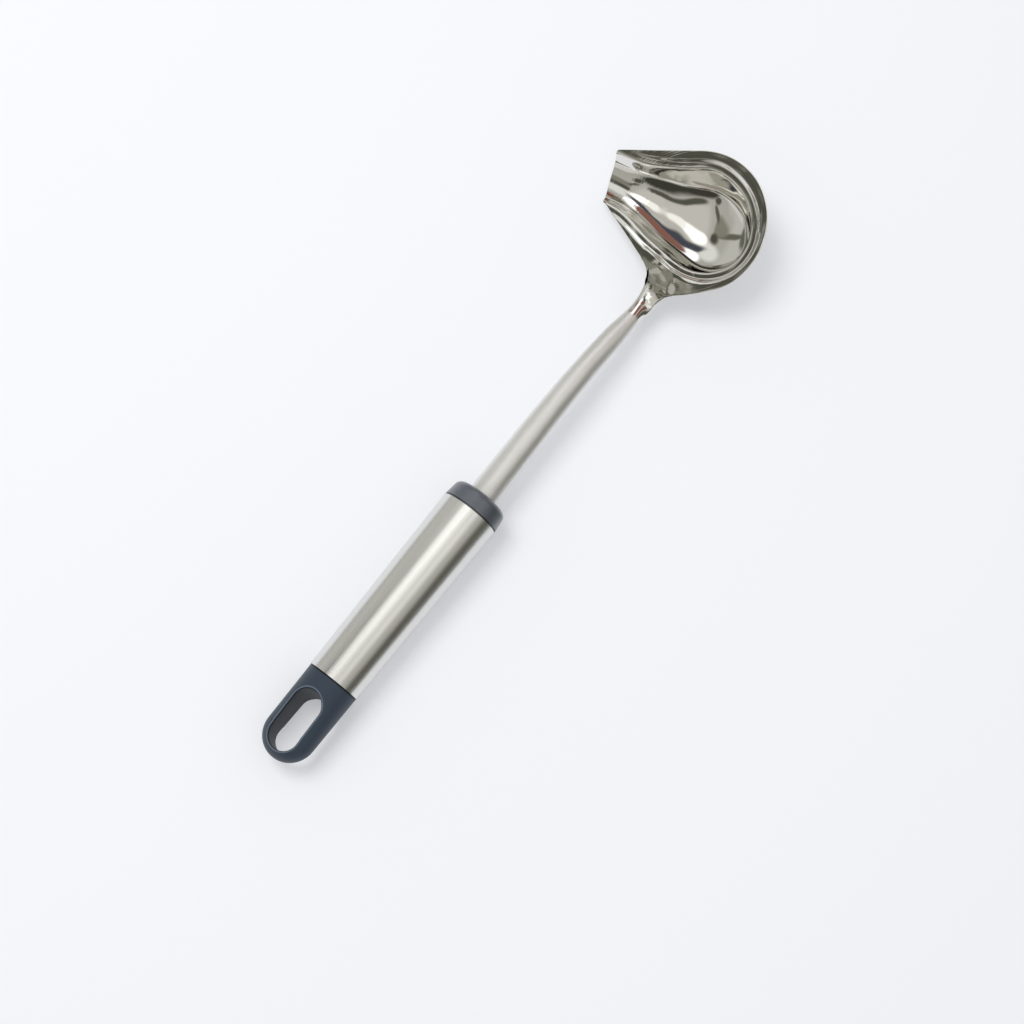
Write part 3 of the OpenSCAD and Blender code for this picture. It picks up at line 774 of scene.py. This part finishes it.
spigot_r = TUBE_BACK_R - TUBE_WALL - SPIGOT_FIT
core_r = spigot_r - SPIGOT_WALL
plug_profile = [(0.0, cap_r), (0.0, spigot_r), (CAP_SPIGOT, spigot_r), (CAP_SPIGOT, core_r), (0.0, core_r), (0.0, 0.01)]
plug_rings = turned_rings(plug_profile)
plug_faces = [[v + len(cap_points) for v in f] for f in skin(plug_rings)]
cap = smooth_piece("end_cap_moulding", np.concatenate([cap_points] + plug_rings), cap_faces + plug_faces)
welder = bmesh.new()
welder.from_mesh(cap.data)
bmesh.ops.remove_doubles(welder, verts=welder.verts, dist=2e-6)
bmesh.ops.recalc_face_normals(welder, faces=welder.faces)
welder.to_mesh(cap.data)
welder.free()
cap.data.shade_smooth()
cap.data.set_sharp_from_angle(angle=math.radians(50))

# Painted shade darkens the slot's wall, and a painted highlight runs paler along its rounded edge
EDGE_AT, SLOT_EDGE_HIGHLIGHT, SLOT_PAINTED_SHADE = 0.65, (0.13, 0.155, 0.185), (0.006, 0.011, 0.018)
past_run = plastic.maths("ABSOLUTE", handle_x - slot_mid) - (SLOT_LEN - SLOT_W) / 2
past_run = plastic.maths("MAXIMUM", past_run, 0.0)
from_slot = plastic.maths("SQRT", past_run * past_run + handle_y * handle_y) - SLOT_W / 2
on_cap = 1 - at_tube_front
# Painted highlight along the slot's rounded edge
slot_highlight_mask = plastic.fade(plastic.maths("ABSOLUTE", from_slot - EDGE_AT), 0.45, 0.15, top=0.9) * on_cap
# Painted shade down the slot's wall
slot_shade_mask = plastic.fade(from_slot, 0.45, 0.1) * on_cap
plastic.use(Base_Color=plastic.blend(slot_shade_mask, plastic.blend(slot_highlight_mask, tone, SLOT_EDGE_HIGHLIGHT), SLOT_PAINTED_SHADE))
cap.data.materials.append(plastic.material)
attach(cap, "root")
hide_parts("end_cap")


# The table is a plain pale sheet, white to the camera, that keeps the ladle's soft shadow.
# Beyond the picture it is darker, and beside the ladle sheets of painted shade darken it; only the steel mirrors these.
def table_sheet(name, x_range, y_range, z, finish, only_mirrored=False):
    mesh = bpy.data.meshes.new(name)
    corners = [(x_range[i], y_range[j], z) for i, j in ((0, 0), (1, 0), (1, 1), (0, 1))]
    mesh.from_pydata(corners, [], [[0, 1, 2, 3]])
    mesh.materials.append(finish.material)
    sheet = bpy.data.objects.new(name, mesh)
    bpy.context.scene.collection.objects.link(sheet)
    if only_mirrored:
        sheet.visible_camera = sheet.visible_diffuse = sheet.visible_shadow = False


table = Finish("pale_table", Roughness=0.9, Specular_IOR_Level=0.0, Emission_Strength=1.0)
shown = sum(table.node("LightPath", output="Is %s Ray" % kind) for kind in ("Camera", "Glossy", "Transmission"))
table.use(
    Base_Color=table.blend(shown, (0.84, 0.86, 0.89), (0.60, 0.605, 0.615)),
    Emission_Color=table.blend(shown, (0, 0, 0), (0.325, 0.327, 0.335)),
)
table_sheet("table", (-3, 3), (-3, 3), 0, table)
for name, tone, x_range, y_range in (
    ("far_table_edge", (0.20, 0.20, 0.17), (-3, 3), (-3, -0.11)),
    ("near_table_edge", (0.42, 0.42, 0.39), (-3, 3), (0.17, 3)),
    ("rim_shade", (0.22, 0.22, 0.19), (0.08, 0.3), (0.045, 0.17)),
    ("shank_shade", (0.36, 0.36, 0.33), (-0.02, 0.09), (-0.11, -0.04)),
):
    shade = Finish(name, Base_Color=(*tone, 1), Roughness=0.9)
    table_sheet(name, x_range, y_range, 0.0005, shade, only_mirrored=True)


# The studio: plain white light from all round for matt things, and for the steel to mirror a
# pale room with a light ceiling, a bright window wall, dark flags and a brown cupboard.
class Studio(Finish):
    """The world's node tree, with soft-edged panels laid one over another by direction."""

    def __init__(self, name, low, high):
        world = bpy.data.worlds.new(name)
        bpy.context.scene.world = world
        world.use_nodes = True
        self.tree = world.node_tree
        self.shader = self.tree.nodes["Background"]
        self.sight = self.node("TexCoord", output="Generated")
        height = self.node("SeparateXYZ", {}, {0: self.sight}, output="Z")
        self.room = self.blend(height, low, high)

    def seen(self, direction, half_angle=45.0):
        """The share of the line of sight that runs in a direction, 1 at half_angle."""
        scaled = direction / math.tan(math.radians(half_angle))
        return self.node("VectorMath", {"operation": "DOT_PRODUCT"}, {0: self.sight, 1: scaled}, output="Value")

    def panel(self, bearing, from_top, half_width, half_height, turn, soft, colour):
        b, t, r = (math.radians(v) for v in (bearing, from_top, turn))
        middle = Vector((math.sin(t) * math.cos(b), math.sin(t) * math.sin(b), math.cos(t)))
        downward = Vector((math.cos(t) * math.cos(b), math.cos(t) * math.sin(b), -math.sin(t)))
        sideways = middle.cross(downward)
        ahead = self.seen(middle)
        up = self.seen(downward * math.cos(r) + sideways * math.sin(r), half_height)
        side = self.seen(sideways * math.cos(r) - downward * math.sin(r), half_width)
        off = (up * up + side * side) / (ahead * ahead)
        inside = self.node(
            "MapRange", {"interpolation_type": "SMOOTHSTEP"},
            {0: self.maths("SQRT", off), 1: 1 + soft / 2, 2: 1 - soft / 2, 3: 0.0, 4: 1.0},
        )
        share = inside * self.maths("GREATER_THAN", ahead)
        self.room = self.blend(share, self.room, colour)

    def open_to(self, plain):
        self.use(Color=self.blend(self.node("LightPath", output="Is Glossy Ray"), plain, self.room))


studio = Studio("studio", (0.42, 0.42, 0.38), (0.52, 0.51, 0.47))
# Bearing round from +X, angle from straight up, half width, half height, turn, softness, colour
for panel in (
    (92, 74, 50, 15, 0, 0.8, (0.58, 0.58, 0.54)),
    (275, 80, 40, 17, 0, 0.7, (0.10, 0.10, 0.08)),
    (200, 61, 25, 15, 0, 0.7, (0.05, 0.05, 0.04)),
    (150, 84, 27, 8, 0, 0.5, (0.72, 0.71, 0.68)),
    (104, 88, 12, 10, 0, 0.6, (0.15, 0.15, 0.12)),
    (163, 54, 9, 7, 0, 0.7, (0.09, 0.09, 0.07)),
    (200, 5, 22, 30, 0, 0.9, (0.64, 0.63, 0.58)),
    (64, 44, 13, 16, 0, 0.8, (0.85, 0.85, 0.82)),
    (108, 62, 4, 22, 0, 0.8, (0.14, 0.14, 0.11)),
    (120, 47, 11, 10, 0, 0.8, (0.26, 0.255, 0.21)),
    (98, 39, 9, 7.5, 0, 0.9, (0.085, 0.085, 0.068)),
    (143, 43, 12, 4, 0, 0.7, (0.12, 0.12, 0.09)),
    (209, 36, 13, 7, 0, 0.8, (0.10, 0.10, 0.08)),
    (320, 38, 18, 12, 0, 0.7, (0.95, 0.95, 0.93)),
    (50, 14, 10, 18, 40, 0.6, (1.55, 1.55, 1.5)),
    (22, 46, 16, 13, 0, 0.5, (1.5, 1.52, 1.55)),
    (323, 12, 7, 7, 0, 0.7, (1.15, 1.15, 1.1)),
    (42, 72, 16, 8, 0, 0.5, (0.20, 0.085, 0.06)),
    (316, 58, 9, 12, 0, 0.5, (0.22, 0.09, 0.065)),
    (15, 28, 26, 5, 0, 0.7, (0.07, 0.075, 0.095)),
    (353, 43, 15, 10, 0, 0.5, (0.27, 0.13, 0.10)),
    (286, 27, 12, 10, 0, 0.5, (0.98, 0.97, 0.94)),
):
    studio.panel(*panel)
studio.open_to((0.59, 0.60, 0.62))


# One soft box over the far side of the table gives the shadow its side; the steel doesn't show it
LAMP_AT, LAMP_AIM, LAMP_SIZE, LAMP_POWER = Vector((0.0, 0.62, 1.5)), Vector((0.05, 0, 0)), 0.75, 12
light = bpy.data.lights.new("overhead", "AREA")
light.shape, light.size, light.size_y, light.energy = "RECTANGLE", LAMP_SIZE, LAMP_SIZE, LAMP_POWER
lamp = bpy.data.objects.new("overhead", light)
lamp.visible_glossy = False
lamp.matrix_world = Matrix.Translation(LAMP_AT) @ (LAMP_AIM - LAMP_AT).to_track_quat("-Z", "Y").to_matrix().to_4x4()
bpy.context.scene.collection.objects.link(lamp)


# The camera looks steeply down, with the handle running from lower left to upper right. Its
# place and its three directions are given on the handle's axes.
CAMERA_AT = (-36.98599, -275.58182, 738.95892)
CAMERA_RIGHT = np.array([0.6173904, -0.7708228, -0.1570394])
CAMERA_DOWN = np.array([-0.7672519, -0.5459738, -0.3365074])
CAMERA_AHEAD = np.array([0.1736482, 0.3282452, -0.9284942])
IMAGE_PX, FOCAL_PX, SENSOR_MM = 1024, 1900, 36
camera_place = Matrix.Translation(Vector(laid_down([CAMERA_AT])[0]))
camera_axes = np.stack([LIE @ CAMERA_RIGHT, LIE @ -CAMERA_DOWN, LIE @ -CAMERA_AHEAD], axis=1)
camera = bpy.data.objects.new("camera", bpy.data.cameras.new("camera"))
camera.matrix_world = camera_place @ Matrix([list(r) for r in camera_axes]).to_4x4()
camera.data.lens, camera.data.sensor_width = FOCAL_PX / IMAGE_PX * SENSOR_MM, SENSOR_MM
camera.data.clip_end = 20
bpy.context.scene.collection.objects.link(camera)
bpy.context.scene.camera = camera

bpy.context.scene.view_settings.view_transform = "Standard"
